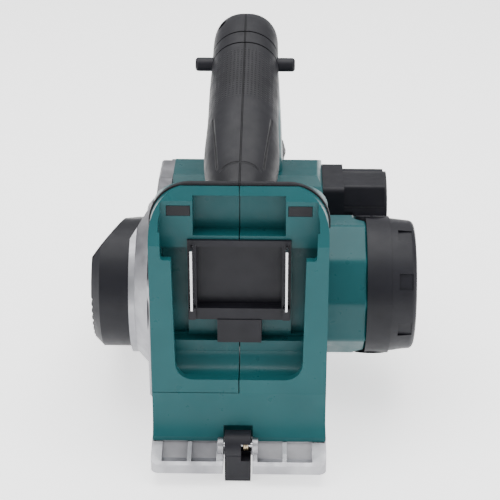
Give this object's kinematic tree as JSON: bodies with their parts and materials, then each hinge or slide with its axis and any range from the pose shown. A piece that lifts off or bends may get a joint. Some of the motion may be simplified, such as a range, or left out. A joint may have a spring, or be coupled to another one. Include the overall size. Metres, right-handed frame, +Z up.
{
  "type": "electric hand planer",
  "caption": "Cordless hand planer with a belt-driven two-blade cutter drum, knob-adjusted front sole, slide-on battery bay and D-shaped grip",
  "frame": {"origin": "centre of the rear sole's width, on its underside plane, 96 mm behind the cutter drum's axis", "axes": "+Y is the planing direction, +X is the machine's right with the motor, +Z is up out of the sole"},
  "size_m": [0.1626, 0.29, 0.183],
  "materials": {
    "teal_plastic": "moulded glass-filled nylon",
    "black_plastic": "moulded nylon",
    "grip_rubber": "soft overmould, fine texture",
    "cast_aluminium": "die-cast, tumbled",
    "machined_sole": "ground sole",
    "steel": "zinc plated",
    "spring_brass": "yellow passivated wire",
    "copper": "copper windings",
    "magnet": "ferrite",
    "belt_rubber": "ribbed belt",
    "blade_steel": "ground carbide-tipped steel"
  },
  "bodies": {
    "machine_body": {"frame_casting": "cast_aluminium", "rear_base": "machined_sole", "base_screws": "steel", "housing_left": "teal_plastic", "housing_right": "teal_plastic", "handle_grip_left": "grip_rubber", "handle_grip_right": "grip_rubber", "motor_housing": "teal_plastic", "motor_end_cap": "black_plastic", "brush_holders": "black_plastic", "carbon_brushes": "magnet", "brush_caps": "black_plastic", "belt_cover": "black_plastic", "chip_nozzle": "black_plastic", "chip_duct": "black_plastic", "terminal_block": "black_plastic", "terminal_blades": "steel", "foot_pin": "steel", "foot_spring": "spring_brass", "depth_ring": "cast_aluminium", "drive_belt": "belt_rubber", "trigger_pin": "steel", "switch_body": "black_plastic", "speed_controller": "cast_aluminium", "lead_wires": "belt_rubber", "bay_cushions": "grip_rubber", "stator_can": "steel", "stator_magnets": "magnet", "motor_bearings": "steel", "drum_bearings": "steel", "housing_screws": "steel", "cover_screws": "steel"},
    "drum_assembly": {"cutter_drum": "cast_aluminium", "drum_blades": "blade_steel", "blade_clamps": "steel", "blade_bolts": "steel", "drum_pulley": "cast_aluminium", "pulley_bolt": "steel"},
    "rotor_assembly": {"rotor_shaft": "steel", "armature_core": "magnet", "windings": "copper", "commutator": "copper", "cooling_fan": "black_plastic", "motor_pulley": "steel"},
    "front_shoe": {"front_base": "machined_sole"},
    "depth_adjuster": {"depth_knob": "black_plastic", "depth_screw": "steel"},
    "trigger_lever": {"trigger": "black_plastic"},
    "lock_button": {"lock_off_button": "black_plastic"},
    "rest_foot": {"rear_foot": "black_plastic"}
  },
  "joints": [
    {"name": "drum_spin", "type": "hinge", "parent": "machine_body", "child": "drum_assembly", "pos_m": [0, 0.096, 0.028], "axis": [1, 0, 0], "continuous": true},
    {"name": "rotor_spin", "type": "hinge", "parent": "machine_body", "child": "rotor_assembly", "pos_m": [0, 0.018, 0.0556], "axis": [1, 0, 0], "continuous": true},
    {"name": "depth_turn", "type": "hinge", "parent": "machine_body", "child": "depth_adjuster", "pos_m": [0, 0.165, 0.044], "axis": [0, 0, 1], "range_deg": [0, 360]},
    {"name": "front_slide", "type": "slide", "parent": "machine_body", "child": "front_shoe", "axis": [0, 0, 1], "range_m": [0, 0.002]},
    {"name": "trigger_pull", "type": "hinge", "parent": "machine_body", "child": "trigger_lever", "pos_m": [0, 0.076, 0.133], "axis": [1, 0, 0], "range_deg": [-9, 0], "stiffness_Nm_per_rad": 1.5, "springref_deg": 14.32},
    {"name": "lock_push", "type": "slide", "parent": "machine_body", "child": "lock_button", "axis": [1, 0, 0], "range_m": [-0.003, 0.003], "stiffness_N_per_m": 800},
    {"name": "foot_fold", "type": "hinge", "parent": "machine_body", "child": "rest_foot", "pos_m": [0, -0.0665, 0.0106], "axis": [1, 0, 0], "range_deg": [-75, 0], "stiffness_Nm_per_rad": 0.02, "springref_deg": 45.84}
  ],
  "couplings": [
    {"joint": "rotor_spin", "follows": "drum_spin", "ratio": 2},
    {"joint": "front_slide", "follows": "depth_turn", "m_per_rad": 0.00031831}
  ]
}
